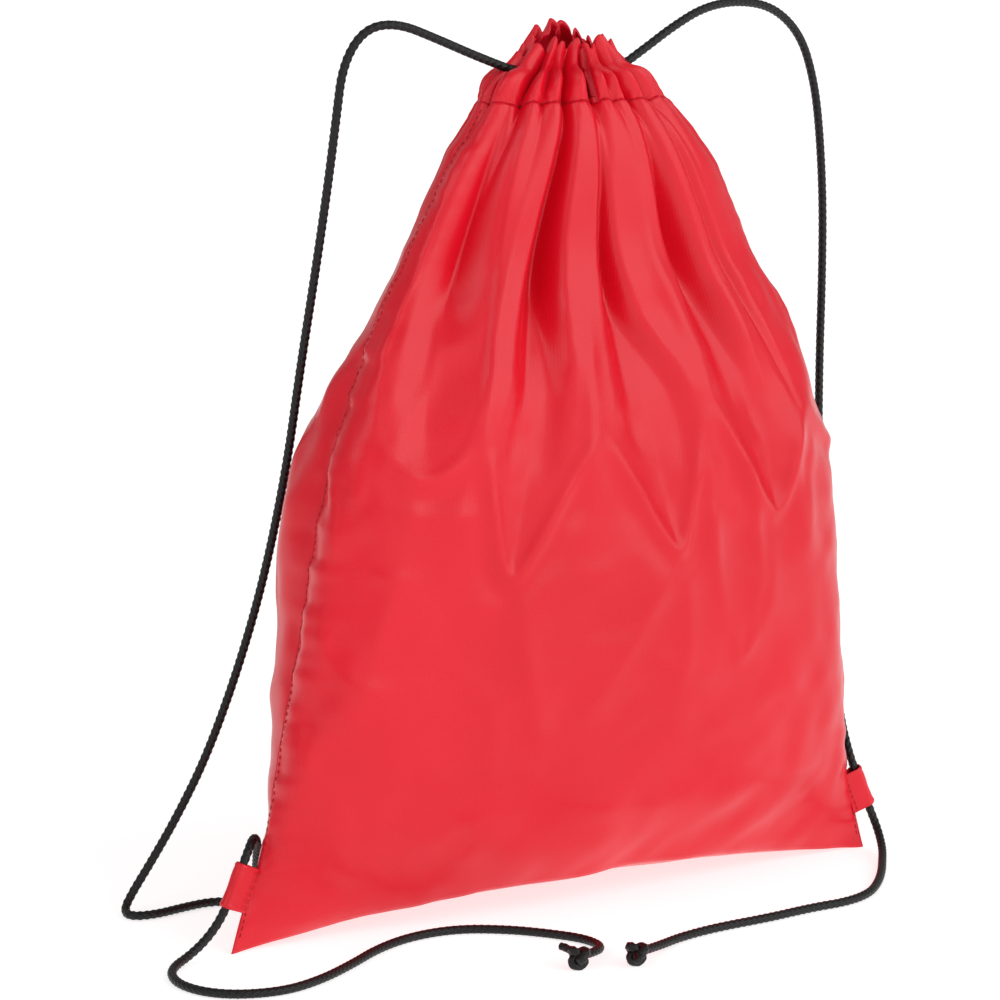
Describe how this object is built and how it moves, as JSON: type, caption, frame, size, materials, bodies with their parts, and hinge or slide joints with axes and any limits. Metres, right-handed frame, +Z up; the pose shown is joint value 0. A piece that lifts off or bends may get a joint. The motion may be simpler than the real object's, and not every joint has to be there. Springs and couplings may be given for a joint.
{
  "type": "drawstring backpack",
  "caption": "Soft cloth bag gathered at the mouth by cords that run through corner tabs as shoulder straps and end in knots; standing lightly filled with its mouth drawn shut.",
  "frame": {"origin": "centre of the bag's box at the surface that it stands on, cords left out", "axes": "+Z up through the gathered mouth, +X to the bag's right side, front face towards -Y"},
  "size_m": [0.3839, 0.1935, 0.4019],
  "materials": {
    "red_cloth": "satin woven nylon",
    "red_ribbon": "satin woven ribbon",
    "black_cord": "braided polyester cord",
    "red_thread": "sewing thread"
  },
  "bodies": {
    "root": {"back_channel": "red_cloth", "back_channel_stitching": "red_thread", "bag_body": "red_cloth", "front_channel": "red_cloth", "front_channel_stitching": "red_thread", "left_channel_cord": "black_cord", "left_cord": "black_cord", "left_knot": "black_cord", "left_side_stitching": "red_thread", "left_tab": "red_ribbon", "left_tab_stitching": "red_thread", "right_channel_cord": "black_cord", "right_cord": "black_cord", "right_knot": "black_cord", "right_side_stitching": "red_thread", "right_tab": "red_ribbon", "right_tab_stitching": "red_thread"}
  },
  "joints": []
}
